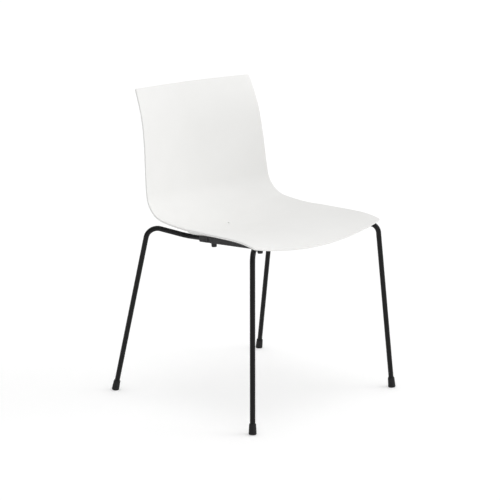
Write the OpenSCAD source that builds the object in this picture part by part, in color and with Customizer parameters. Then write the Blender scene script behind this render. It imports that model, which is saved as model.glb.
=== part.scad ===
// Stacking chair: one moulded shell on a bent steel frame with four legs.
// Millimetres. +Z is up, the sitter faces -Y, and the origin is on the floor,
// midway between the four feet. Left is -X, seen from behind the chair.

/* [Shell] */
// Thickness of the moulded shell
shell_t = 5; // [4:0.5:6]
// Height of the middle of the shell's front edge
front_edge_z = 433.5; // [431:0.5:437]
// Distance of that edge in front of the origin
front_edge_y = 235.5; // [230:0.5:240]
// Radius of the shell's four corners, seen square on
corner_r = 6; // [4:1:16]
// Forward bow of the front edge between its corners
front_bow = 13; // [0:1:20]
// Upward bow of the top edge between its corners
top_bow = 3; // [0:1:8]
// Diameter of the drain hole in the seat
drain_d = 8; // [5:0.5:9]

/* [Frame] */
// Outer diameter of the leg tube
tube_d = 13.5; // [12:0.5:14]
// Wall thickness of the leg tube
tube_wall = 2; // [1.5:0.5:2.5]
// Half the distance between the front feet
front_foot_x = 265; // [255:1:275]
// Half the distance between the rear feet
rear_foot_x = 273; // [262:1:283]
// Distance of the feet in front of and behind the origin
foot_y = 254; // [244:1:260]
// Bend radius of the front shoulders
front_bend_r = 28; // [26:1:34]
// Bend radius of the rear shoulders
rear_bend_r = 30; // [26:1:34]
// Bend radius where the tube turns along the seat
inner_bend_r = 35; // [30:1:38]
// Diameter of the two cross bars
bar_d = 12; // [10:0.5:12]
// How far the middle of a cross bar is dropped below its ends
bar_drop = 8; // [7:0.5:10]

/* [Saddles] */
// Half the distance between the two tubes under the seat
run_x = 155; // [152:1:157]
// Wall of the saddle around the tube
saddle_wall = 2.4; // [2:0.1:4]
// Length of the rear clamp block
clamp_len = 31; // [26:1:33]
// Diameter of a stacking peg at its root
peg_d = 15; // [13:0.5:16]
// Length of a stacking peg below the saddle
peg_len = 10; // [6:0.5:12]

/* [Feet] */
// Diameter of a foot glide at the floor
glide_d = 20; // [19:0.5:24]
// Diameter of a foot glide at its top
glide_top_d = 17.6; // [17:0.1:19]
// Height of a foot glide along the leg
glide_h = 27; // [20:1:36]

/* [Hidden] */
$fn = 48;
LEFT = -1;
RIGHT = 1;
tube_r = tube_d / 2;

// Centre line of the shell from the front edge to the top edge, as arcs of
// [length, turn in degrees]: front lip, seat, seat dish, bend, lumbar, top.
spine_heading = 18.5;
spine_arcs = [[82, -16], [154, -12], [118, 19], [134, 70], [160, 11.5], [119, -15.5]];
// Half width of the shell, and how far its side edges stand proud of the
// centre line, at equal steps from the front edge to the top edge.
half_widths = [235, 235, 231, 225, 216, 206];
edge_lifts = [25, 23, 38, 36, 34, 2];
shell_rows = 46;
shell_cols = 20;

// The frame's centre line on one side, as corner points with a bend at each.
rear_shoulder = [231.5, 158.4, 456.5];
rear_inner = [run_x, 94.5, 427.2];
front_inner = [run_x, -166, 444.2];
front_shoulder = [232.7, -221.2, 451];
run_slope = atan2(front_inner[2] - rear_inner[2], rear_inner[1] - front_inner[1]);
tube_end_gap = 5;
bend_swell = 0.03;
bend_hold = 0.8;

// Places along the run, measured forward from the rear inner corner.
clamp_at = 55;
saddle_at = 89;
saddle_full_end = 242;
saddle_end = 278;
rear_peg_at = 100;
front_peg_at = 265;
rear_bar_at = 28.5;
front_bar_at = 218;
clamp_screw_at = 70;
saddle_screws_at = [118, 184, 240];
screw_x = 16;

// Saddle section, outward and inward of the tube's centre line.
saddle_out = tube_r + saddle_wall;
saddle_in = 24;
flange_top = 0;
fit = 0.05;

// Seat pads: lengthwise extent along the shell's centre line.
pad_from = 86;
pad_to = 328;
pad_rows = 22;
pad_in_x = run_x - 22;
pad_out_x = run_x + 4;
pad_gap = 0.15;
// Behind this the pad's underside lifts clear of the tube's bend.
pad_lift_y = 74;
pad_lift_slope = 0.3;

// M5 screws, washers and inserts.
screw_d = 5;
screw_len = 11;
screw_head_d = 9.2;
screw_head_h = 2.6;
washer_d = 10;
washer_t = 1;
insert_d = 7;
insert_len = 6;
counterbore_d = 11;
counterbore_h = 5;
boss_d = 13;
peg_pin_d = 7;

// ---------- vectors ----------
function unit(v) = v / norm(v);
function on_side(p, side) = [side * p[0], p[1], p[2]];
function turn_angle(a, b) = acos(unit(a) * unit(b));
function deg_to_rad(a) = a * PI / 180;

// ---------- shell surface ----------
// Walks d along an arc that starts as [y, z, heading].
function arc_step(at, len, turn, d) =
    let (half = turn * d / len / 2,
         chord = abs(half) < 0.001 ? d : d * sin(half) / deg_to_rad(half))
    [at[0] + chord * cos(at[2] + half), at[1] + chord * sin(at[2] + half), at[2] + 2 * half];
function walk(at, s, i) =
    let (arc = spine_arcs[i])
    (s <= arc[0] || i == len(spine_arcs) - 1)
        ? arc_step(at, arc[0], arc[1], s)
        : walk(arc_step(at, arc[0], arc[1], arc[0]), s - arc[0], i + 1);
function spine(s) = walk([-front_edge_y, front_edge_z, spine_heading], s, 0);
function sum_lengths(i = 0) = i == len(spine_arcs) ? 0 : spine_arcs[i][0] + sum_lengths(i + 1);
spine_len = sum_lengths();

// Smooth curve through equally spaced values, for q from 0 to 1.
function value_at(list, i) =
    let (last = len(list) - 1)
    i < 0 ? 2 * list[0] - list[1] : i > last ? 2 * list[last] - list[last - 1] : list[i];
function smooth(list, q) =
    let (n = len(list) - 1,
         i = min(floor(q * n), n - 1),
         t = q * n - i,
         a = value_at(list, i - 1),
         b = value_at(list, i),
         c = value_at(list, i + 1),
         d = value_at(list, i + 2))
    b + t * (c - a) / 2 + t * t * (a - 2.5 * b + 2 * c - d / 2) + t * t * t * (1.5 * (b - c) + (d - a) / 2);
function corner_inset(d) = d < corner_r ? corner_r - sqrt(corner_r * corner_r - pow(corner_r - d, 2)) : 0;

// A point at distance s along the shell and x across it, below the top face.
function shell_at(s, x, below) =
    let (at = spine(s),
         q = s / spine_len,
         v = x / smooth(half_widths, q),
         off = smooth(edge_lifts, q) * v * v - below)
    [x, at[0] - sin(at[2]) * off, at[1] + cos(at[2]) * off];
// The same by shares u along and v across the outline, with its bows and corners.
function shell_uv(u, v, below) =
    let (s = front_bow * v * v + u * (spine_len - (top_bow + front_bow) * v * v),
         near = min(u, 1 - u) * spine_len,
         half = smooth(half_widths, s / spine_len),
         at = spine(s),
         off = smooth(edge_lifts, s / spine_len) * v * v - below)
    [v * (half - corner_inset(near)), at[0] - sin(at[2]) * off, at[1] + cos(at[2]) * off];

// Rows crowd together at both ends, where the corners turn.
corner_rows = [0, 0.06, 0.25, 0.55, 1];
row_shares = concat(
    [for (c = corner_rows) c * corner_r / spine_len],
    [for (i = [1 : shell_rows - 1])
        let (edge = corner_r / spine_len) edge + (1 - 2 * edge) * i / shell_rows],
    [for (i = [4 : -1 : 0]) 1 - corner_rows[i] * corner_r / spine_len]);

// Closed skin between an upper and a lower grid of rows by cols points.
module grid_solid(rows, cols, top, bottom) {
    count = rows * cols;
    function id(r, c, low) = (low ? count : 0) + r * cols + c;
    function quad(a, b, c, d) = [[a, b, c], [a, c, d]];
    skins = [for (r = [0 : rows - 2], c = [0 : cols - 2])
        each concat(
            quad(id(r, c, false), id(r + 1, c, false), id(r + 1, c + 1, false), id(r, c + 1, false)),
            quad(id(r, c, true), id(r, c + 1, true), id(r + 1, c + 1, true), id(r + 1, c, true)))];
    sides = [for (r = [0 : rows - 2])
        each concat(
            quad(id(r, 0, false), id(r, 0, true), id(r + 1, 0, true), id(r + 1, 0, false)),
            quad(id(r, cols - 1, false), id(r + 1, cols - 1, false),
                 id(r + 1, cols - 1, true), id(r, cols - 1, true)))];
    ends = [for (c = [0 : cols - 2])
        each concat(
            quad(id(0, c, false), id(0, c + 1, false), id(0, c + 1, true), id(0, c, true)),
            quad(id(rows - 1, c, false), id(rows - 1, c, true),
                 id(rows - 1, c + 1, true), id(rows - 1, c + 1, false)))];
    polyhedron(points = concat(top, bottom), faces = concat(skins, sides, ends));
}

module seat_shell() {
    shares = [for (c = [0 : shell_cols]) -1 + 2 * c / shell_cols];
    color("whitesmoke")
    difference() {
        grid_solid(len(row_shares), len(shares),
            [for (u = row_shares, v = shares) shell_uv(u, v, 0)],
            [for (u = row_shares, v = shares) shell_uv(u, v, shell_t)]);
        translate([0, 100, front_edge_z - 20])
            cylinder(h = 40, d = drain_d);
    }
}

// ---------- bent tubes ----------
// Places children with their Z along the line from a towards b.
module along(a, b) {
    z = unit(b - a);
    x = unit(cross(abs(z[2]) < 0.9 ? [0, 0, 1] : [0, 1, 0], z));
    y = cross(z, x);
    multmatrix([[x[0], y[0], z[0], a[0]],
                [x[1], y[1], z[1], a[1]],
                [x[2], y[2], z[2], a[2]]])
        children();
}

module ring_section(r_out, r_in) {
    difference() {
        circle(r = r_out);
        if (r_in > 0) circle(r = r_in);
    }
}

// Where the straight stretches on both sides of corner i end.
function tangent_len(path, radii, i) =
    (i == 0 || i == len(path) - 1) ? 0
        : radii[i] * tan(turn_angle(path[i] - path[i - 1], path[i + 1] - path[i]) / 2);

module bend(before, corner, after, radius, r_out, r_in) {
    din = unit(corner - before);
    dout = unit(after - corner);
    angle = turn_angle(din, dout);
    start = corner - din * radius * tan(angle / 2);
    toward = unit(dout - din * (din * dout));
    centre = start + toward * radius;
    x = -toward;
    z = cross(x, din);
    multmatrix([[x[0], din[0], z[0], centre[0]],
                [x[1], din[1], z[1], centre[1]],
                [x[2], din[2], z[2], centre[2]]])
        rotate_extrude(angle = angle, $fn = 96)
            translate([radius, 0])
                ring_section(r_out, r_in);
}

// The bends are a hair thicker, as a bent tube's are, and hold the ends of the
// straight stretches.
module bent_tube(path, radii, r_out, r_in) {
    last = len(path) - 1;
    for (i = [0 : last - 1]) {
        dir = unit(path[i + 1] - path[i]);
        from = path[i] + dir * (tangent_len(path, radii, i) - (i > 0 ? bend_hold : 0));
        to = path[i + 1] - dir * (tangent_len(path, radii, i + 1) - (i < last - 1 ? bend_hold : 0));
        along(from, to)
            linear_extrude(norm(to - from))
                ring_section(r_out, r_in);
    }
    for (i = [1 : last - 1])
        bend(path[i - 1], path[i], path[i + 1], radii[i],
             r_out + bend_swell, max(0, r_in - bend_swell));
}

function rear_foot(side) = [side * rear_foot_x, foot_y, 0];
function front_foot(side) = [side * front_foot_x, -foot_y, 0];
// The end of the tube inside a glide, on the line from the foot to its shoulder.
function tube_end(foot, shoulder) = foot + unit(shoulder - foot) * tube_end_gap;

module side_frame(side) {
    rear = on_side(rear_shoulder, side);
    front = on_side(front_shoulder, side);
    path = [tube_end(rear_foot(side), rear), rear, on_side(rear_inner, side),
            on_side(front_inner, side), front, tube_end(front_foot(side), front)];
    color("#1b1b1c")
    bent_tube(path, [0, rear_bend_r, inner_bend_r, inner_bend_r, front_bend_r, 0],
              tube_r, tube_r - tube_wall);
}
module side_frame_left() side_frame(LEFT);
module side_frame_right() side_frame(RIGHT);

// ---------- things along the run of the tube under the seat ----------
// Frame on the left tube: -Y runs forward along it, +Z is square to it.
module on_run(at) {
    translate(on_side(rear_inner, LEFT))
        rotate([-run_slope, 0, 0])
            translate([0, -at, 0])
                children();
}
module both_sides(side) {
    if (side == LEFT) children();
    else mirror([1, 0, 0]) children();
}
function run_height(at) = rear_inner[2] + at * sin(run_slope);
function run_y(at) = rear_inner[1] - at * cos(run_slope);

// A cross bar, coped to the round of both side tubes.
module cross_bar(at) {
    y = run_y(at);
    z = run_height(at);
    low = run_height(at) - bar_drop;
    slope_x = run_x - 70;
    path = [[-run_x, y, z], [-slope_x, y, low], [slope_x, y, low], [run_x, y, z]];
    color("#1b1b1c")
    difference() {
        bent_tube(path, [0, 90, 90, 0], bar_d / 2, 0);
        for (side = [LEFT, RIGHT])
            both_sides(side)
                on_run(at - 20)
                    rotate([90, 0, 0])
                        cylinder(h = 40, r = tube_r);
    }
}
module cross_bar_front() cross_bar(front_bar_at);
module cross_bar_rear() cross_bar(rear_bar_at);

// Section of the saddle, square to the run; +X is inward.
module saddle_section() {
    cut = 2;
    difference() {
        polygon([[-saddle_out, tube_r], [-saddle_out, cut - saddle_out],
                 [cut - saddle_out, -saddle_out], [saddle_in - cut, -saddle_out],
                 [saddle_in, cut - saddle_out], [saddle_in, flange_top],
                 [saddle_out, flange_top], [saddle_out, tube_r]]);
        circle(r = tube_r + fit);
        translate([-tube_r - fit, 0])
            square([tube_d + 2 * fit, tube_d]);
    }
}
module saddle_stretch(from, to) {
    on_run(from)
        rotate([90, 0, 0])
            linear_extrude(to - from)
                saddle_section();
}
// Clearance and counterbore for a screw from below.
module screw_hole(at) {
    on_run(at)
        translate([screw_x, 0, -saddle_out - 1]) {
            cylinder(h = saddle_out + 2, d = screw_d + 0.6);
            cylinder(h = counterbore_h + 1, d = counterbore_d);
        }
}
module peg_hole(at) {
    on_run(at)
        translate([0, 0, -saddle_out - 1])
            cylinder(h = saddle_wall + 2, d = peg_pin_d);
}

module saddle(side) {
    floor_top = -tube_r - 0.4;
    color("#38393a")
    both_sides(side)
        difference() {
            union() {
                saddle_stretch(saddle_at, saddle_full_end);
                on_run(saddle_end)
                    translate([-saddle_out, 0, -saddle_out])
                        cube([saddle_out + saddle_in, saddle_end - saddle_full_end,
                              floor_top + saddle_out]);
                on_run(saddle_end)
                    translate([tube_r + 1.5, 0, -saddle_out])
                        cube([saddle_in - tube_r - 1.5, saddle_end - saddle_full_end,
                              flange_top + saddle_out]);
            }
            for (at = saddle_screws_at) screw_hole(at);
            peg_hole(rear_peg_at);
            peg_hole(front_peg_at);
            // notch for the front cross bar
            on_run(front_bar_at)
                translate([0, -bar_d / 2 - 0.5, -bar_d / 2 - 3.6])
                    cube([saddle_in + 1, bar_d + 1, bar_d + 6]);
        }
}
module saddle_left() saddle(LEFT);
module saddle_right() saddle(RIGHT);

module clamp(side) {
    color("#38393a")
    both_sides(side)
        difference() {
            saddle_stretch(clamp_at, clamp_at + clamp_len);
            screw_hole(clamp_screw_at);
        }
}
module clamp_left() clamp(LEFT);
module clamp_right() clamp(RIGHT);

// Soft peg that keeps stacked chairs apart, on a pin in the saddle's floor.
module stack_peg(side, at) {
    round_r = 2;
    tip_r = peg_d / 2 - 1;
    tip = [for (a = [0 : 15 : 90])
        [tip_r - round_r + round_r * cos(a), round_r - peg_len - round_r * sin(a)]];
    color("#303132")
    both_sides(side)
        on_run(at)
            translate([0, 0, -saddle_out])
                rotate_extrude()
                    polygon(concat([[0, saddle_wall - fit], [peg_pin_d / 2, saddle_wall - fit],
                                    [peg_pin_d / 2, 0], [peg_d / 2, 0]],
                                   tip, [[0, -peg_len]]));
}
module stack_peg_rear_left() stack_peg(LEFT, rear_peg_at);
module stack_peg_rear_right() stack_peg(RIGHT, rear_peg_at);
module stack_peg_front_left() stack_peg(LEFT, front_peg_at);
module stack_peg_front_right() stack_peg(RIGHT, front_peg_at);

// ---------- seat pads ----------
// Height of the underside of the pad, flush with the top of the run.
function pad_floor(y) = rear_inner[2] + (rear_inner[1] - y) * tan(run_slope)
    + (tube_r + fit) / cos(run_slope) + pad_lift_slope * max(0, y - pad_lift_y);
function drop_to_floor(p) = [p[0], p[1], pad_floor(p[1])];

module seat_pad(side) {
    xs = [pad_in_x, (pad_in_x + pad_out_x) / 2, pad_out_x];
    rows = [for (i = [0 : pad_rows]) pad_from + (pad_to - pad_from) * i / pad_rows];
    top = [for (s = rows, x = xs) shell_at(s, x, shell_t + pad_gap)];
    screws = concat([clamp_screw_at], saddle_screws_at);
    boss_depth = tube_r - flange_top + fit;
    color("whitesmoke")
    mirror([side == LEFT ? 1 : 0, 0, 0])
        difference() {
            union() {
                grid_solid(len(rows), len(xs), top, [for (p = top) drop_to_floor(p)]);
                mirror([1, 0, 0])
                    for (at = screws)
                        on_run(at)
                            translate([screw_x, 0, flange_top + fit])
                                cylinder(h = boss_depth + 0.2, d = boss_d);
            }
            mirror([1, 0, 0])
                for (at = screws)
                    on_run(at)
                        translate([screw_x, 0, flange_top - 1])
                            cylinder(h = insert_len + 1 + fit, d = insert_d);
        }
}
module seat_pad_left() seat_pad(LEFT);
module seat_pad_right() seat_pad(RIGHT);

// ---------- fasteners, each kind one group ----------
module at_screws() {
    for (side = [LEFT, RIGHT], at = concat([clamp_screw_at], saddle_screws_at))
        both_sides(side)
            on_run(at)
                translate([screw_x, 0, 0])
                    children();
}
head_seat = counterbore_h - saddle_out;

module thread_inserts() {
    color("#b08d4c")
    at_screws()
        translate([0, 0, flange_top + fit])
            difference() {
                cylinder(h = insert_len - fit, d = insert_d);
                translate([0, 0, -1])
                    cylinder(h = insert_len + 2, d = screw_d);
            }
}

module saddle_screws() {
    color("#2b2c2d")
    at_screws()
        translate([0, 0, head_seat - washer_t])
            difference() {
                union() {
                    cylinder(h = screw_len, d = screw_d - 2 * fit);
                    translate([0, 0, -screw_head_h])
                        cylinder(h = screw_head_h, d = screw_head_d);
                }
                translate([0, 0, -screw_head_h - 1])
                    cylinder(h = 2.8, d = 3.4, $fn = 6);
            }
}

module screw_washers() {
    color("#8d9092")
    at_screws()
        translate([0, 0, head_seat - washer_t])
            difference() {
                cylinder(h = washer_t, d = washer_d);
                translate([0, 0, -1])
                    cylinder(h = washer_t + 2, d = screw_d + 0.3);
            }
}

// ---------- feet ----------
// A sleeve on the end of a leg, cut flat where it stands on the floor.
module glide(foot, shoulder) {
    lip = 1.2;
    edge = 1.2;
    slope = (glide_d - glide_top_d) / 2 / glide_h;
    r0 = glide_d / 2;
    below = 4;
    color("#242526")
    difference() {
        along(foot, shoulder)
            rotate_extrude()
                polygon([[0, -below], [r0, -below], [r0, edge], [r0 - slope * (glide_h - lip), glide_h - lip],
                         [glide_top_d / 2 - lip, glide_h], [tube_r + fit, glide_h],
                         [tube_r + fit, tube_end_gap - fit], [0, tube_end_gap - fit]]);
        translate([foot[0] - glide_d, foot[1] - glide_d, -20])
            cube([2 * glide_d, 2 * glide_d, 20]);
    }
}
module glide_front_left() glide(front_foot(LEFT), on_side(front_shoulder, LEFT));
module glide_front_right() glide(front_foot(RIGHT), on_side(front_shoulder, RIGHT));
module glide_rear_left() glide(rear_foot(LEFT), on_side(rear_shoulder, LEFT));
module glide_rear_right() glide(rear_foot(RIGHT), on_side(rear_shoulder, RIGHT));

seat_shell();
seat_pad_left();
seat_pad_right();
side_frame_left();
side_frame_right();
cross_bar_front();
cross_bar_rear();
saddle_left();
saddle_right();
clamp_left();
clamp_right();
stack_peg_front_left();
stack_peg_front_right();
stack_peg_rear_left();
stack_peg_rear_right();
glide_front_left();
glide_front_right();
glide_rear_left();
glide_rear_right();
thread_inserts();
saddle_screws();
screw_washers();
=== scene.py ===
"""Looks of the stacking chair: a moulded white shell on a bent, powder-coated steel frame.

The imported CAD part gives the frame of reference. Here the shell, tubes, pads, saddles,
pegs, glides and fasteners get their finished meshes and materials. Lengths are in
millimetres until MM turns them into the metres that Blender works in.
"""

import math

import bmesh
import bpy
from mathutils import Matrix, Vector


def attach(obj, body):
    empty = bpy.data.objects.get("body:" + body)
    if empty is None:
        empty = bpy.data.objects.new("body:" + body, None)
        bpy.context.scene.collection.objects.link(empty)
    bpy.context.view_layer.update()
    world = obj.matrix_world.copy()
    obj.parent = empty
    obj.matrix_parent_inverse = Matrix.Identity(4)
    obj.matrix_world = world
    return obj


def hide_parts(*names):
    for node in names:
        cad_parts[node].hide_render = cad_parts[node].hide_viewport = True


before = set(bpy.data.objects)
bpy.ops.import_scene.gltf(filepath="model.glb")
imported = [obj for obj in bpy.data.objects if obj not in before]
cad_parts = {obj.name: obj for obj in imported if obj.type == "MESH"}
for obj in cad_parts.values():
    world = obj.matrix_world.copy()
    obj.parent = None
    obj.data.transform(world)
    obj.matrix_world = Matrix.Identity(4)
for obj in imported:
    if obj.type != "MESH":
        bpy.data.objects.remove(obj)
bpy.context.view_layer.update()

MM = 0.001
LEFT = -1
RIGHT = 1
SIDES = {"left": LEFT, "right": RIGHT}

# ---------- driving sizes, as the CAD part has them ----------
SHELL_T = 5
FRONT_EDGE_Z = 433.5
FRONT_EDGE_Y = 235.5
CORNER_R = 6
FRONT_BOW = 13
TOP_BOW = 3
SPINE_HEADING = 18.5
# Centre line of the shell from the front edge to the top edge: (length, turn in degrees).
SPINE_ARCS = [(82, -16), (154, -12), (118, 19), (134, 70), (160, 11.5), (119, -15.5)]
SPINE_LEN = sum(length for length, turn in SPINE_ARCS)
# At equal steps along it: half the shell's width, and how far its side edges stand above its middle.
HALF_WIDTHS = [235, 235, 231, 225, 216, 206]
EDGE_LIFTS = [25, 23, 38, 36, 34, 2]
# Rounding of the rim, and the cells of the shell's mesh: along it, its corners apart, and across.
RIM_R = 1.1
SHELL_ROWS = 150
SHELL_COLS = 96
# The drain hole: distance along the shell, diameter, rounding, and half the patch it is set in.
DRAIN_AT = 338.1
DRAIN_D = 8
DRAIN_LIP_R = 0.9
DRAIN_PATCH = 11

# Tubes and cross bars, with the corners of the frame's centre line on its right side.
TUBE_R = 6.75
BAR_R = 6
RUN_X = 155
FOOT_Y = 254
FOOT_X = {"front": 265, "rear": 273}
SHOULDER = {"front": Vector((232.7, -221.2, 451)), "rear": Vector((231.5, 158.4, 456.5))}
INNER = {"front": Vector((RUN_X, -166, 444.2)), "rear": Vector((RUN_X, 94.5, 427.2))}
SHOULDER_R = {"front": 28, "rear": 30}
INNER_R = 35
TUBE_END_GAP = 5
BAR_DROP = 8
BAR_BEND_R = 90
BAR_SLOPE_X = RUN_X - 70
BAR_AT = {"front": 218, "rear": 28.5}
BAR_INTO_TUBE = 1.5

# Weld beads and foot glides.
WELD_R = 1.7
GLIDE_D = 20
GLIDE_TOP_D = 17.6
GLIDE_H = 27

# Saddles, pegs and screws, along the run from the rear corner and square to it.
SADDLE_WALL = 2.4
SADDLE_OUT = TUBE_R + SADDLE_WALL
PEG_D = 15
PEG_LEN = 10
PEG_PIN_D = 7
PEG_AT = {"front": 265, "rear": 100}
SCREWS_AT = [70, 118, 184, 240]
SCREW_X = 16
COUNTERBORE_H = 5
HEAD_SEAT = COUNTERBORE_H - SADDLE_OUT
HEAD_D = 9.2
HEAD_H = 2.6
SOCKET_W = 3
SOCKET_DEPTH = 1.6
SCREW_R = 2.45
SCREW_LEN = 11
THREAD_PITCH = 0.8
WASHER_D = 10
WASHER_T = 1

# ---------- camera, light and floor, with lengths in metres ----------
CAMERA_AZ = -45.13
CAMERA_EL = 13.45
CAMERA_DISTANCE = 4.366
CAMERA_LENS = 119.84
CAMERA_TARGET = Vector((-0.0095, 0.0095, 0.379))
# Far lights: (azimuth, elevation, angle they seem to fill, strength).
LIGHTS = {"side": (48, 28, 26, 0.52), "top": (0, 88, 26, 0.26)}
SKY_AZ = 66
SKY_EL = 45
SKY_DIM = 0.2
SKY_BRIGHT = 1.0
FLOOR_GLOW = 0.21
FLOOR_SHADE = 0.85
STAGE_R = 60

# ---------- small geometry helpers ----------
RUN_SLOPE = math.atan2(INNER["front"].z - INNER["rear"].z, INNER["rear"].y - INNER["front"].y)


def on_side(point, side):
    return Vector((side * point[0], point[1], point[2]))


def run_frame(side, at, x=0.0):
    """Placement on the run of a tube under the seat: -Y goes forward along it, +X inward."""
    place = Matrix.Translation(on_side(INNER["rear"], LEFT))
    place @= Matrix.Rotation(-RUN_SLOPE, 4, "X")
    place @= Matrix.Translation((x, -at, 0))
    if side == RIGHT:
        place = Matrix.Diagonal((-1, 1, 1, 1)) @ place
    return place


def new_piece(name, points, faces, smooth_angle, replaces=()):
    """A mesh piece from points in millimetres, riding on the one body of the chair."""
    mesh = bpy.data.meshes.new(name)
    mesh.from_pydata([Vector(p) * MM for p in points], [], faces)
    mesh.validate()
    fix = bmesh.new()
    fix.from_mesh(mesh)
    bmesh.ops.recalc_face_normals(fix, faces=fix.faces)
    fix.to_mesh(mesh)
    fix.free()
    mesh.shade_smooth()
    mesh.set_sharp_from_angle(angle=math.radians(smooth_angle))
    piece = bpy.data.objects.new(name, mesh)
    bpy.context.scene.collection.objects.link(piece)
    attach(piece, "root")
    if replaces:
        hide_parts(*replaces)
    return piece


def ring_of_quads(first, second, count):
    """Faces between two closed rings of count points that start at the given numbers."""
    faces = []
    for i in range(count):
        j = (i + 1) % count
        faces.append([first + i, first + j, second + j, second + i])
    return faces


class Mesh:
    """Points and faces that several shapes are gathered in."""

    def __init__(self):
        self.points = []
        self.faces = []

    def add(self, points, faces, place=Matrix.Identity(4)):
        start = len(self.points)
        self.points += [place @ Vector(p) for p in points]
        self.faces += [[start + i for i in face] for face in faces]

    def loft(self, rings, caps=(False, False), place=Matrix.Identity(4)):
        """Skin over closed rings of equally many points."""
        count = len(rings[0])
        points = [p for ring in rings for p in ring]
        faces = []
        for r in range(len(rings) - 1):
            faces += ring_of_quads(r * count, (r + 1) * count, count)
        if caps[0]:
            faces.append(list(range(count)))
        if caps[1]:
            faces.append([(len(rings) - 1) * count + i for i in range(count)])
        self.add(points, faces, place)

    def lathe(self, profile, sides=48, place=Matrix.Identity(4)):
        """Turned solid about Z; a profile point on the axis closes the solid with one point."""
        rings = [(r, z) for r, z in profile if r > 0]
        points = [(x, y, z) for r, z in rings for x, y in round_section(r, sides)]
        faces = []
        for k in range(len(rings) - 1):
            faces += ring_of_quads(k * sides, (k + 1) * sides, sides)
        for end, first in ((profile[0], True), (profile[-1], False)):
            if end[0] == 0:
                tip = len(points)
                points.append((0, 0, end[1]))
                base = 0 if first else (len(rings) - 1) * sides
                faces += [[tip, base + i, base + (i + 1) % sides] for i in range(sides)]
        self.add(points, faces, place)


def arc(centre, radius, start, end, steps):
    """Points of an arc in a profile, angles in degrees."""
    angles = [math.radians(start + (end - start) * k / steps) for k in range(steps + 1)]
    return [(centre[0] + radius * math.cos(a), centre[1] + radius * math.sin(a)) for a in angles]


def rounded_path(corners, radii, spacing=6):
    """Points along a bent centre line, with an arc at each inner corner.

    They lie about a third of spacing apart on an arc, and four times spacing on a straight.
    """
    points = [corners[0]]
    for i in range(1, len(corners) - 1):
        into = (corners[i] - corners[i - 1]).normalized()
        out = (corners[i + 1] - corners[i]).normalized()
        angle = into.angle(out)
        reach = radii[i] * math.tan(angle / 2)
        start = corners[i] - into * reach
        toward = (out - into * into.dot(out)).normalized()
        centre = start + toward * radii[i]
        steps = max(6, round(radii[i] * angle / spacing * 3))
        for k in range(steps + 1):
            a = angle * k / steps
            points.append(centre - toward * (radii[i] * math.cos(a)) + into * (radii[i] * math.sin(a)))
    points.append(corners[-1])
    dense = [points[0]]
    for a, b in zip(points, points[1:]):
        parts = max(1, round((b - a).length / (spacing * 4)))
        dense += [a.lerp(b, (k + 1) / parts) for k in range(parts)]
    return dense


def sweep(path, section):
    """Rings of a section carried along a path without twisting; section points are (side, up)."""
    tangent = (path[1] - path[0]).normalized()
    side = tangent.cross(Vector((0, 0, 1)))
    if side.length < 0.1:
        side = tangent.cross(Vector((0, 1, 0)))
    side.normalize()
    rings = []
    last = len(path) - 1
    for i, point in enumerate(path):
        ahead = (path[min(i + 1, last)] - path[max(i - 1, 0)]).normalized()
        side = (side - ahead * side.dot(ahead)).normalized()
        up = side.cross(ahead)
        rings.append([point + side * s + up * u for s, u in section])
    return rings


def circle_angles(sides):
    """Equal steps once round, in radians."""
    return [2 * math.pi * i / sides for i in range(sides)]


def round_section(radius, sides=40):
    return [(radius * math.cos(a), radius * math.sin(a)) for a in circle_angles(sides)]


# ---------- shell surface ----------
def arc_step(at, length, turn, distance):
    """Where a step of distance leads from at, (y, z, heading), on an arc of this length and turn."""
    half = math.radians(turn) * distance / length / 2
    chord = distance if abs(half) < 1e-6 else distance * math.sin(half) / half
    y, z, heading = at
    return (y + chord * math.cos(heading + half), z + chord * math.sin(heading + half), heading + 2 * half)


def spine(s):
    """Point and heading of the shell's centre line at distance s from its front edge."""
    at = (-FRONT_EDGE_Y, FRONT_EDGE_Z, math.radians(SPINE_HEADING))
    for k, (length, turn) in enumerate(SPINE_ARCS):
        if s <= length or k == len(SPINE_ARCS) - 1:
            return arc_step(at, length, turn, s)
        at = arc_step(at, length, turn, length)
        s -= length


def smooth(values, share):
    """Smooth curve through equally spaced values."""
    count = len(values) - 1
    i = min(int(share * count), count - 1)
    t = share * count - i
    padded = [2 * values[0] - values[1]] + values + [2 * values[-1] - values[-2]]
    a, b, c, d = padded[i:i + 4]
    return (b + t * (c - a) / 2 + t * t * (a - 2.5 * b + 2 * c - d / 2)
            + t ** 3 * (1.5 * (b - c) + (d - a) / 2))


def shell_point(s, x, below):
    """Point of the shell at distance s along it and x across it, below the top face."""
    y, z, heading = spine(s)
    share = s / SPINE_LEN
    off = smooth(EDGE_LIFTS, share) * (x / smooth(HALF_WIDTHS, share)) ** 2 - below
    return Vector((x, y - math.sin(heading) * off, z + math.cos(heading) * off))


def outline_at(u, v, inset):
    """Distances along and across the shell, by shares of its outline drawn in by inset all round."""
    s = (FRONT_BOW * v * v + inset) + u * (SPINE_LEN - (TOP_BOW + FRONT_BOW) * v * v - 2 * inset)
    near = min(u, 1 - u) * (SPINE_LEN - 2 * inset)
    radius = CORNER_R - inset
    corner = radius - math.sqrt(max(radius ** 2 - (radius - near) ** 2, 0)) if near < radius else 0
    return s, v * (smooth(HALF_WIDTHS, s / SPINE_LEN) - inset - corner)


def shell_rows(count):
    """Shares along the shell, crowded at both ends where the corners turn."""
    edge = CORNER_R / SPINE_LEN
    turn = [edge * (1 - math.cos(math.radians(a))) for a in range(0, 90, 10)]
    middle = [edge + (1 - 2 * edge) * k / count for k in range(count + 1)]
    return turn + middle + [1 - t for t in reversed(turn)]


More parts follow.
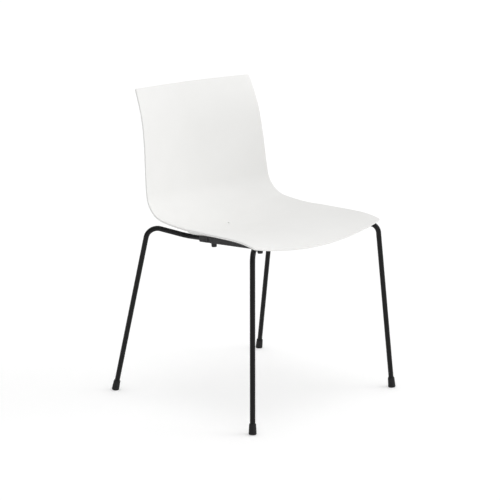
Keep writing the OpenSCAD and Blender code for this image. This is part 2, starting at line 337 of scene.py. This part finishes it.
def grid_border(r0, r1, c0, c1):
    """The (row, column) pairs around a block of a grid, in one direction."""
    return ([(r0, c) for c in range(c0, c1 + 1)] + [(r, c1) for r in range(r0 + 1, r1 + 1)]
            + [(r1, c) for c in range(c1 - 1, c0 - 1, -1)] + [(r, c0) for r in range(r1 - 1, r0, -1)])


def quarter_round(radius, steps=5):
    """(inset, depth) pairs from a flat face round to the wall square to it."""
    turns = [math.pi / 2 * k / steps for k in range(steps + 1)]
    return [(radius * (1 - math.sin(a)), radius * (1 - math.cos(a))) for a in turns]


def make_shell():
    """Closed skin of the shell: two faces, a rounded rim and the rounded drain hole."""
    rows = shell_rows(SHELL_ROWS)
    cols = [-1 + 2 * k / SHELL_COLS for k in range(SHELL_COLS + 1)]
    last_row = len(rows) - 1
    last_col = len(cols) - 1
    turn = quarter_round(RIM_R)
    inset = turn[0][0]

    # the block of cells that the drain hole takes the place of
    hole_rows = [r for r, u in enumerate(rows)
                 if abs(outline_at(u, 0, inset)[0] - DRAIN_AT) < DRAIN_PATCH]
    hole_cols = [c for c, v in enumerate(cols)
                 if abs(outline_at(rows[hole_rows[0]], v, inset)[1]) < DRAIN_PATCH]
    block = (hole_rows[0], hole_rows[-1], hole_cols[0], hole_cols[-1])

    shape = Mesh()
    faces_at = []
    for below in (0, SHELL_T):
        faces_at.append(len(shape.points))
        points = [shell_point(*outline_at(u, v, inset), below) for u in rows for v in cols]
        corners = [r * len(cols) + c for r in range(last_row) for c in range(last_col)
                   if not (block[0] <= r < block[1] and block[2] <= c < block[3])]
        shape.add(points, [[k, k + 1, k + len(cols) + 1, k + len(cols)] for k in corners])

    def grid_loop(start, pairs):
        return [start + r * len(cols) + c for r, c in pairs]

    def bridge(loops):
        for upper, lower in zip(loops, loops[1:]):
            for k in range(len(upper)):
                j = (k + 1) % len(upper)
                shape.faces.append([upper[k], lower[k], lower[j], upper[j]])

    def loop_of(points):
        start = len(shape.points)
        shape.points += points
        return list(range(start, start + len(points)))

    # the rim
    pairs = grid_border(0, last_row, 0, last_col)
    depths = turn[1:] + [(i, SHELL_T - d) for i, d in reversed(turn[1:])]
    loops = [grid_loop(faces_at[0], pairs)]
    loops += [loop_of([shell_point(*outline_at(rows[r], cols[c], i), d) for r, c in pairs])
              for i, d in depths]
    loops.append(grid_loop(faces_at[1], pairs))
    bridge(loops)

    # the drain hole
    pairs = grid_border(*block)
    places = [outline_at(rows[r], cols[c], inset) for r, c in pairs]
    angles = [math.atan2(s - DRAIN_AT, x) for s, x in places]
    lip = quarter_round(DRAIN_LIP_R, 4)
    radius = DRAIN_D / 2
    upper = [(DRAIN_PATCH * 0.75, 0)] + [(radius + i, d) for i, d in lip]
    depths = upper + [(r, SHELL_T - d) for r, d in reversed(upper)]
    loops = [grid_loop(faces_at[0], pairs)]
    loops += [loop_of([shell_point(DRAIN_AT + r * math.sin(a), r * math.cos(a), d) for a in angles])
              for r, d in depths]
    loops.append(grid_loop(faces_at[1], pairs))
    bridge(loops)
    return shape


# ---------- materials ----------
class Finish:
    """A Principled material and the few node groups that the finishes below share."""

    def __init__(self, name, color, roughness, metallic=0.0, specular=0.5):
        self.material = bpy.data.materials.new(name)
        self.material.use_nodes = True
        self.nodes = self.material.node_tree.nodes
        self.links = self.material.node_tree.links
        self.shader = self.nodes["Principled BSDF"]
        self.shader.inputs["Base Color"].default_value = (*color, 1)
        self.shader.inputs["Roughness"].default_value = roughness
        self.shader.inputs["Metallic"].default_value = metallic
        self.shader.inputs["Specular IOR Level"].default_value = specular
        self.place = self.nodes.new("ShaderNodeTexCoord").outputs["Object"]
        self.height = None

    def noise(self, size, detail=2.0, stretch=(1, 1, 1)):
        """Cloudy noise whose clouds are about size millimetres across, times stretch."""
        mapping = self.nodes.new("ShaderNodeMapping")
        mapping.inputs["Scale"].default_value = [1 / (size * MM * k) for k in stretch]
        self.links.new(self.place, mapping.inputs["Vector"])
        noise = self.nodes.new("ShaderNodeTexNoise")
        noise.inputs["Scale"].default_value = 1
        noise.inputs["Detail"].default_value = detail
        self.links.new(mapping.outputs["Vector"], noise.inputs["Vector"])
        return noise.outputs["Fac"]

    def spread(self, value, start, end, low=0.0, high=1.0):
        """Spreads start to end of a value over low to high, and holds it there outside them."""
        spread = self.nodes.new("ShaderNodeMapRange")
        for socket, number in (("From Min", start), ("From Max", end), ("To Min", low), ("To Max", high)):
            spread.inputs[socket].default_value = number
        self.links.new(value, spread.inputs["Value"])
        return spread.outputs["Result"]

    def times(self, a, b):
        product = self.nodes.new("ShaderNodeMath")
        product.operation = "MULTIPLY"
        self.links.new(a, product.inputs[0])
        self.links.new(b, product.inputs[1])
        return product.outputs[0]

    def mix(self, share, first, second):
        """Colour between two colours or colour sockets."""
        mix = self.nodes.new("ShaderNodeMix")
        mix.data_type = "RGBA"
        self.links.new(share, mix.inputs["Factor"])
        for socket, color in ((mix.inputs[6], first), (mix.inputs[7], second)):
            if isinstance(color, tuple):
                socket.default_value = (*color, 1)
            else:
                self.links.new(color, socket)
        return mix.outputs[2]

    def color(self, socket):
        self.links.new(socket, self.shader.inputs["Base Color"])

    def roughness(self, socket):
        self.links.new(socket, self.shader.inputs["Roughness"])

    def bump(self, height, depth, strength=1.0):
        """Relief of depth millimetres, on top of any put there before."""
        bump = self.nodes.new("ShaderNodeBump")
        bump.inputs["Distance"].default_value = depth * MM
        bump.inputs["Strength"].default_value = strength
        self.links.new(height, bump.inputs["Height"])
        if self.height is not None:
            self.links.new(self.height, bump.inputs["Normal"])
        self.height = bump.outputs["Normal"]
        self.links.new(self.height, self.shader.inputs["Normal"])

    def up(self):
        """Height above the floor, in metres."""
        split = self.nodes.new("ShaderNodeSeparateXYZ")
        self.links.new(self.place, split.inputs[0])
        return split.outputs["Z"]

    def edges(self, start=0.51, end=0.58):
        """How far a place stands out as an edge, from 0 to 1."""
        geometry = self.nodes.new("ShaderNodeNewGeometry")
        return self.spread(geometry.outputs["Pointiness"], start, end)


def shell_plastic():
    """Polypropylene with a fine spark-eroded grain."""
    finish = Finish("shell_plastic", (0.83, 0.828, 0.815), 0.5, specular=0.35)
    clouds = finish.spread(finish.noise(160, detail=3), 0.3, 0.7)
    finish.color(finish.mix(clouds, (0.825, 0.823, 0.809), (0.845, 0.843, 0.83)))
    finish.roughness(finish.spread(finish.noise(30, detail=4), 0.3, 0.7, 0.46, 0.56))
    finish.bump(finish.noise(14, detail=2), 0.03, 0.35)
    finish.bump(finish.noise(0.7, detail=3), 0.035, 0.4)
    return finish.material


def powder_coat():
    """Satin black powder coat: a soft orange peel with fine specks."""
    finish = Finish("powder_coat", (0.003, 0.003, 0.0032), 0.34, specular=0.22)
    clouds = finish.spread(finish.noise(25, detail=3), 0.3, 0.7)
    tint = finish.mix(clouds, (0.0025, 0.0025, 0.0027), (0.004, 0.004, 0.0042))
    specks = finish.spread(finish.noise(0.5, detail=1), 0.66, 0.74)
    finish.color(finish.mix(specks, tint, (0.01, 0.01, 0.0104)))
    finish.roughness(finish.spread(finish.noise(6, detail=3), 0.3, 0.7, 0.28, 0.38))
    finish.bump(finish.noise(1.6, detail=2), 0.05, 0.5)
    finish.bump(finish.noise(0.35, detail=2), 0.015, 0.35)
    return finish.material


def saddle_plastic():
    """Glass-filled nylon, dull, with the streaks of its flow along the saddle."""
    finish = Finish("saddle_plastic", (0.028, 0.028, 0.029), 0.6, specular=0.3)
    flow = finish.spread(finish.noise(2.2, detail=3, stretch=(1, 14, 1)), 0.35, 0.7)
    finish.color(finish.mix(flow, (0.024, 0.024, 0.025), (0.036, 0.036, 0.037)))
    finish.roughness(finish.spread(finish.noise(5, detail=3), 0.3, 0.7, 0.52, 0.68))
    finish.bump(finish.noise(0.6, detail=3), 0.04, 0.5)
    return finish.material


def peg_rubber():
    """Soft black rubber with a fine bloom on it."""
    finish = Finish("peg_rubber", (0.028, 0.028, 0.029), 0.8, specular=0.3)
    bloom = finish.spread(finish.noise(4, detail=4), 0.45, 0.75)
    finish.color(finish.mix(bloom, (0.026, 0.026, 0.027), (0.04, 0.04, 0.041)))
    finish.roughness(finish.spread(bloom, 0, 1, 0.72, 0.86))
    finish.bump(finish.noise(0.5, detail=2), 0.03, 0.4)
    return finish.material


def glide_plastic():
    """Black polyamide sleeve, scuffed where it slides on the floor."""
    finish = Finish("glide_plastic", (0.009, 0.009, 0.0095), 0.5, specular=0.25)
    low = finish.spread(finish.up(), 0.0, 0.006, 1, 0)
    scuffs = finish.times(low, finish.spread(finish.noise(1.4, detail=4, stretch=(3, 3, 0.5)), 0.45, 0.7))
    clouds = finish.spread(finish.noise(9, detail=3), 0.3, 0.7)
    tint = finish.mix(clouds, (0.008, 0.008, 0.0084), (0.012, 0.012, 0.0125))
    finish.color(finish.mix(scuffs, tint, (0.05, 0.0495, 0.048)))
    finish.roughness(finish.spread(finish.noise(3, detail=3), 0.3, 0.7, 0.42, 0.6))
    finish.bump(finish.noise(0.6, detail=3), 0.03, 0.45)
    return finish.material


def insert_brass():
    """Turned brass."""
    finish = Finish("insert_brass", (0.62, 0.45, 0.2), 0.32, metallic=1.0)
    turned = finish.noise(0.25, detail=2, stretch=(12, 12, 1))
    finish.color(finish.mix(finish.spread(turned, 0.35, 0.65), (0.56, 0.4, 0.18), (0.68, 0.5, 0.24)))
    finish.roughness(finish.spread(turned, 0.3, 0.7, 0.25, 0.42))
    finish.bump(turned, 0.02, 0.4)
    return finish.material


def screw_steel():
    """Blackened zinc, rubbed brighter along its edges."""
    finish = Finish("screw_steel", (0.06, 0.06, 0.065), 0.38, metallic=1.0)
    clouds = finish.spread(finish.noise(2, detail=3), 0.3, 0.7)
    tint = finish.mix(clouds, (0.05, 0.05, 0.055), (0.085, 0.085, 0.09))
    finish.color(finish.mix(finish.edges(), tint, (0.3, 0.3, 0.31)))
    finish.roughness(finish.spread(finish.noise(1.2, detail=3), 0.3, 0.7, 0.3, 0.48))
    finish.bump(finish.noise(0.4, detail=2), 0.01, 0.4)
    return finish.material


def washer_steel():
    """Bright zinc with the fine lines of its rolling."""
    finish = Finish("washer_steel", (0.55, 0.56, 0.57), 0.32, metallic=1.0)
    rolled = finish.noise(0.3, detail=2, stretch=(1, 20, 1))
    finish.color(finish.mix(finish.spread(rolled, 0.3, 0.7), (0.5, 0.51, 0.52), (0.62, 0.63, 0.64)))
    finish.roughness(finish.spread(rolled, 0.3, 0.7, 0.26, 0.42))
    finish.bump(rolled, 0.01, 0.4)
    return finish.material


FINISHES = {make.__name__: make() for make in (
    shell_plastic, powder_coat, saddle_plastic, peg_rubber, glide_plastic,
    insert_brass, screw_steel, washer_steel)}


# ---------- pieces ----------
def finish_piece(piece, slot):
    piece.data.materials.clear()
    piece.data.materials.append(FINISHES[slot])


def add_piece(name, shape, slot, smooth_angle, replaces=()):
    finish_piece(new_piece(name, shape.points, shape.faces, smooth_angle, replaces), slot)


def foot(end, side):
    return Vector((side * FOOT_X[end], -FOOT_Y if end == "front" else FOOT_Y, 0))


def add_side_frame(word, side):
    """One bent tube: rear leg, run under the seat, front leg."""
    leg = {}
    for end in ("rear", "front"):
        shoulder = on_side(SHOULDER[end], side)
        low = foot(end, side)
        tube_end = low + (shoulder - low).normalized() * TUBE_END_GAP
        leg[end] = [tube_end, shoulder, on_side(INNER[end], side)]
    corners = leg["rear"] + leg["front"][::-1]
    path = rounded_path(corners, [0, SHOULDER_R["rear"], INNER_R, INNER_R, SHOULDER_R["front"], 0])
    shape = Mesh()
    shape.loft(sweep(path, round_section(TUBE_R)), caps=(True, True))
    add_piece("frame_tube_" + word, shape, "powder_coat", replaces=["side_frame_" + word], smooth_angle=60)


def bar_place(end):
    """Place of a cross bar: (y, z on the centre lines of the side tubes, z of its middle)."""
    at = BAR_AT[end]
    height = INNER["rear"].z + at * math.sin(RUN_SLOPE)
    return INNER["rear"].y - at * math.cos(RUN_SLOPE), height, height - BAR_DROP


def add_cross_bar(end):
    """Bar between the side tubes, lower in its middle than at its ends."""
    y, high, low = bar_place(end)
    reach = RUN_X - TUBE_R + BAR_INTO_TUBE
    slope = (high - low) / (RUN_X - BAR_SLOPE_X)
    tip = high - slope * (RUN_X - reach)
    corners = [Vector((-reach, y, tip)), Vector((-BAR_SLOPE_X, y, low)),
               Vector((BAR_SLOPE_X, y, low)), Vector((reach, y, tip))]
    path = rounded_path(corners, [0, BAR_BEND_R, BAR_BEND_R, 0])
    shape = Mesh()
    shape.loft(sweep(path, round_section(BAR_R)), caps=(True, True))
    add_piece("bar_" + end, shape, "powder_coat", replaces=["cross_bar_" + end], smooth_angle=60)


def add_welds():
    """Beads where the cross bars meet the side tubes, laid in short overlapping runs."""
    shape = Mesh()
    around = 96
    across = 12
    runs = 22
    for end in BAR_AT:
        y, high, low = bar_place(end)
        for side in SIDES.values():
            rings = []
            for turn in circle_angles(around):
                out = Vector((0, math.cos(turn), math.sin(turn)))
                depth = math.sqrt(TUBE_R ** 2 - (BAR_R * math.sin(turn)) ** 2)
                middle = Vector((0, y, high)) + out * BAR_R
                middle.x = side * (RUN_X - depth)
                ripple = 1 + 0.1 * math.sin(turn * runs)
                inward = Vector((-side, 0, 0))
                rings.append([middle + (out * math.cos(a) + inward * math.sin(a)) * (WELD_R * ripple)
                              for a in circle_angles(across)])
            rings.append(rings[0])
            shape.loft(rings)
    add_piece("weld_beads", shape, "powder_coat", smooth_angle=70)


def add_glide(end, word, side):
    """Sleeve on the end of a leg, rounded at its foot and at its mouth."""
    shoulder = on_side(SHOULDER[end], side)
    axis = (shoulder - foot(end, side)).normalized()
    r0 = GLIDE_D / 2
    slope = (GLIDE_D - GLIDE_TOP_D) / 2 / GLIDE_H
    mouth = GLIDE_TOP_D / 2
    lip = 1.1
    heel = 2.2
    bore = TUBE_R + 0.05
    lead_in = 0.3
    tilt = math.degrees(math.atan(slope))
    outside = arc((r0 - heel, heel), heel, -90, tilt, 8)
    outside += [(r0 - slope * z, z) for z in (6, 10, 14, 18, 22)]
    outside += arc((mouth - lip, GLIDE_H - lip), lip, tilt, 90, 5)
    # the underside, with a shallow ring sunk in it
    profile = [(0, 0), (r0 * 0.35, 0), (r0 * 0.36, 0.3), (r0 * 0.62, 0.3), (r0 * 0.63, 0)]
    profile += outside
    # the mouth, and the inside down to the end of the tube
    profile += [(TUBE_R + lead_in, GLIDE_H), (bore, GLIDE_H - lead_in),
                (bore, TUBE_END_GAP), (0, TUBE_END_GAP)]
    shape = Mesh()
    along_leg = axis.to_track_quat("Z", "Y").to_matrix().to_4x4()
    shape.lathe(profile, sides=64, place=Matrix.Translation(foot(end, side)) @ along_leg)
    flatten_foot(shape)
    add_piece(f"sleeve_{end}_{word}", shape, "glide_plastic",
              replaces=[f"glide_{end}_{word}"], smooth_angle=45)


def flatten_foot(shape):
    """Lets the tilted sleeve stand flat: points under the floor rise to it, those just above sink."""
    kept_from = 1.2
    pull = 1.5
    for i, p in enumerate(shape.points):
        if p.z < kept_from:
            z = max(p.z, 0)
            shape.points[i] = Vector((p.x, p.y, z * (z + pull) / (kept_from + pull)))


def add_stack_peg(end, word, side):
    """Soft peg with a rounded tip."""
    at = PEG_AT[end]
    taper = 0.75
    crown = 1.6
    tip_r = PEG_D / 2 - taper
    profile = [(0, -PEG_LEN)] + arc((tip_r - crown, crown - PEG_LEN), crown, -90, 0, 6)
    profile += [(PEG_D / 2 - 0.2, -0.6), (PEG_D / 2, -0.3), (PEG_D / 2, 0), (PEG_PIN_D / 2, 0),
                (PEG_PIN_D / 2, SADDLE_WALL - 0.1), (0, SADDLE_WALL - 0.1)]
    shape = Mesh()
    under_saddle = run_frame(side, at) @ Matrix.Translation((0, 0, -SADDLE_OUT))
    shape.lathe(profile, sides=56, place=under_saddle)
    add_piece(f"peg_{end}_{word}", shape, "peg_rubber",
              replaces=[f"stack_peg_{end}_{word}"], smooth_angle=50)


def soften(node, name, slot, width):
    """A piece with the shape of a CAD node, its edges rounded over width millimetres."""
    work = bmesh.new()
    work.from_mesh(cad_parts[node].data)
    bmesh.ops.remove_doubles(work, verts=work.verts, dist=0.002 * MM)
    bmesh.ops.dissolve_limit(work, angle_limit=math.radians(0.6), verts=work.verts, edges=work.edges)
    work.edges.ensure_lookup_table()
    sharp = math.radians(28)
    corners = [e for e in work.edges if len(e.link_faces) == 2 and e.calc_face_angle(0) > sharp]
    bmesh.ops.bevel(work, geom=corners, offset=width * MM, offset_type="OFFSET", segments=3,
                    profile=0.5, affect="EDGES", clamp_overlap=True)
    points = [v.co / MM for v in work.verts]
    faces = [[v.index for v in f.verts] for f in work.faces]
    work.free()
    piece = new_piece(name, points, faces, smooth_angle=40, replaces=[node])
    weighted = piece.modifiers.new("even_shading", "WEIGHTED_NORMAL")
    weighted.keep_sharp = True
    finish_piece(piece, slot)


def at_screws():
    """Placements of the eight screws: the face of the washer that the head rests on, +Z up the shank."""
    seat = Matrix.Translation((0, 0, HEAD_SEAT - WASHER_T))
    return [run_frame(side, at, x=SCREW_X) @ seat for side in SIDES.values() for at in SCREWS_AT]


def ring(radius, z, angles):
    """Points of a circle at height z."""
    return [Vector((radius * math.cos(a), radius * math.sin(a), z)) for a in angles]


def hexagon(half_width, z, angles):
    """Points of a hexagon at height z, in the directions of the angles."""
    reach = [half_width / math.cos((a % (math.pi / 3)) - math.pi / 6) for a in angles]
    return [Vector((r * math.cos(a), r * math.sin(a), z)) for r, a in zip(reach, angles)]


def screw_thread(angles):
    """Rings up the shank, waved in and out; the wave fades where the thread runs out at the head."""
    depth = 0.2
    runout_length = 1.5
    rings_per_turn = 6
    rings = []
    for k in range(int(SCREW_LEN / THREAD_PITCH * rings_per_turn)):
        z = k * THREAD_PITCH / rings_per_turn
        runout = min(1, z / runout_length)
        waves = [math.cos(2 * math.pi * z / THREAD_PITCH - a) for a in angles]
        radii = [SCREW_R - depth + depth * w * runout for w in waves]
        rings.append([Vector((r * math.cos(a), r * math.sin(a), z)) for r, a in zip(radii, angles)])
    return rings[1:]


def add_screws():
    """Screws with a hexagon socket and a rolled thread."""
    angles = circle_angles(48)
    flat = SOCKET_W / 2
    floor = SOCKET_DEPTH - HEAD_H
    cone = 0.2
    chamfer = 0.25
    head_r = HEAD_D / 2
    crown = 1.3
    soft = 0.3
    rings = [hexagon(flat * 0.1, floor, angles), hexagon(flat, floor - cone, angles),
             hexagon(flat, chamfer - HEAD_H, angles), hexagon(flat + chamfer, -HEAD_H, angles),
             ring(head_r - crown, -HEAD_H, angles)]
    rounding = arc((head_r - crown, crown - HEAD_H), crown, -90, 0, 5)
    rings += [ring(r, z, angles) for r, z in rounding[1:]]
    rings += [ring(r, z, angles) for r, z in ((head_r, -soft), (head_r - soft, 0), (SCREW_R, 0))]
    rings += screw_thread(angles)
    shape = Mesh()
    for place in at_screws():
        shape.loft(rings, caps=(True, True), place=place)
    add_piece("screws", shape, "screw_steel", replaces=["saddle_screws"], smooth_angle=38)


def add_washers():
    """Flat washers with softened edges, under the heads of the screws."""
    outer = WASHER_D / 2
    inner = SCREW_R + 0.2
    soft = 0.2
    profile = [(inner, soft), (inner + soft, 0), (outer - soft, 0), (outer, soft),
               (outer, WASHER_T - soft), (outer - soft, WASHER_T), (inner + soft, WASHER_T),
               (inner, WASHER_T - soft), (inner, soft)]
    shape = Mesh()
    for place in at_screws():
        shape.lathe(profile, place=place)
    add_piece("washers", shape, "washer_steel", replaces=["screw_washers"], smooth_angle=35)


add_piece("shell_skin", make_shell(), "shell_plastic", replaces=["seat_shell"], smooth_angle=60)
for word, side in SIDES.items():
    add_side_frame(word, side)
    soften("saddle_" + word, "saddle_body_" + word, "saddle_plastic", 0.6)
    soften("clamp_" + word, "clamp_body_" + word, "saddle_plastic", 0.6)
    soften("seat_pad_" + word, "pad_" + word, "shell_plastic", 0.7)
    for end in ("front", "rear"):
        add_glide(end, word, side)
        add_stack_peg(end, word, side)
for end in BAR_AT:
    add_cross_bar(end)
add_welds()
add_screws()
add_washers()
finish_piece(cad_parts["thread_inserts"], "insert_brass")


# ---------- camera, light and floor ----------
def view_direction(azimuth, elevation):
    """Unit vector toward an azimuth, in degrees from -Y round to +X, and an elevation."""
    az = math.radians(azimuth)
    el = math.radians(elevation)
    return Vector((math.sin(az) * math.cos(el), -math.cos(az) * math.cos(el), math.sin(el)))


def add_camera():
    data = bpy.data.cameras.new("camera")
    data.lens = CAMERA_LENS
    data.sensor_width = 36
    data.clip_end = 200
    camera = bpy.data.objects.new("camera", data)
    back = view_direction(CAMERA_AZ, CAMERA_EL)
    camera.location = CAMERA_TARGET + back * CAMERA_DISTANCE
    camera.rotation_euler = back.to_track_quat("Z", "Y").to_euler()
    bpy.context.scene.collection.objects.link(camera)
    bpy.context.scene.camera = camera


def add_light(name, azimuth, elevation, spread, strength):
    """A soft light so far away that it lights the floor evenly."""
    data = bpy.data.lights.new(name, "SUN")
    data.energy = strength
    data.angle = math.radians(spread)
    light = bpy.data.objects.new(name, data)
    light.rotation_euler = view_direction(azimuth, elevation).to_track_quat("Z", "Y").to_euler()
    bpy.context.scene.collection.objects.link(light)


def add_sky():
    """Soft light from all round, strongest from SKY_AZ and SKY_EL and weakest from the other side."""
    world = bpy.data.worlds.new("studio")
    bpy.context.scene.world = world
    world.use_nodes = True
    nodes = world.node_tree.nodes
    links = world.node_tree.links
    place = nodes.new("ShaderNodeTexCoord").outputs["Generated"]
    toward = nodes.new("ShaderNodeVectorMath")
    toward.operation = "DOT_PRODUCT"
    toward.inputs[1].default_value = view_direction(SKY_AZ, SKY_EL)
    links.new(place, toward.inputs[0])
    spread = nodes.new("ShaderNodeMapRange")
    spread.interpolation_type = "SMOOTHSTEP"
    spread.inputs["From Min"].default_value = -1
    spread.inputs["From Max"].default_value = 1
    spread.inputs["To Min"].default_value = SKY_DIM
    spread.inputs["To Max"].default_value = SKY_BRIGHT
    links.new(toward.outputs["Value"], spread.inputs["Value"])
    links.new(spread.outputs["Result"], nodes["Background"].inputs["Strength"])
    nodes["Background"].inputs["Color"].default_value = (1, 1, 1, 1)


def stage_piece(name, points, faces, glow, shade):
    """A plain white sheet that glows a little and reflects a share of the light on it."""
    mesh = bpy.data.meshes.new(name)
    mesh.from_pydata(points, [], faces)
    finish = Finish(name + "_white", (shade, shade, shade), 0.9, specular=0.0)
    finish.shader.inputs["Emission Color"].default_value = (1, 1, 1, 1)
    finish.shader.inputs["Emission Strength"].default_value = glow
    mesh.materials.append(finish.material)
    piece = bpy.data.objects.new(name, mesh)
    bpy.context.scene.collection.objects.link(piece)
    return piece


def add_stage():
    """A white floor, and a white wall far round it that only the camera sees."""
    sides = 64
    circle = [Vector((math.sin(a), math.cos(a), 0)) for a in circle_angles(sides)]
    stage_piece("floor", [p * STAGE_R for p in circle], [list(range(sides))], FLOOR_GLOW, FLOOR_SHADE)
    wall_r = STAGE_R * 0.98
    low = [p * wall_r for p in circle]
    high = [p + Vector((0, 0, STAGE_R)) for p in low]
    wall = stage_piece("backdrop", low + high, ring_of_quads(0, sides, sides), 1.0, 0.0)
    wall.visible_diffuse = False
    wall.visible_glossy = False
    wall.visible_shadow = False


add_camera()
for name, setting in LIGHTS.items():
    add_light(name, *setting)
add_sky()
add_stage()
bpy.context.scene.view_settings.view_transform = "Standard"
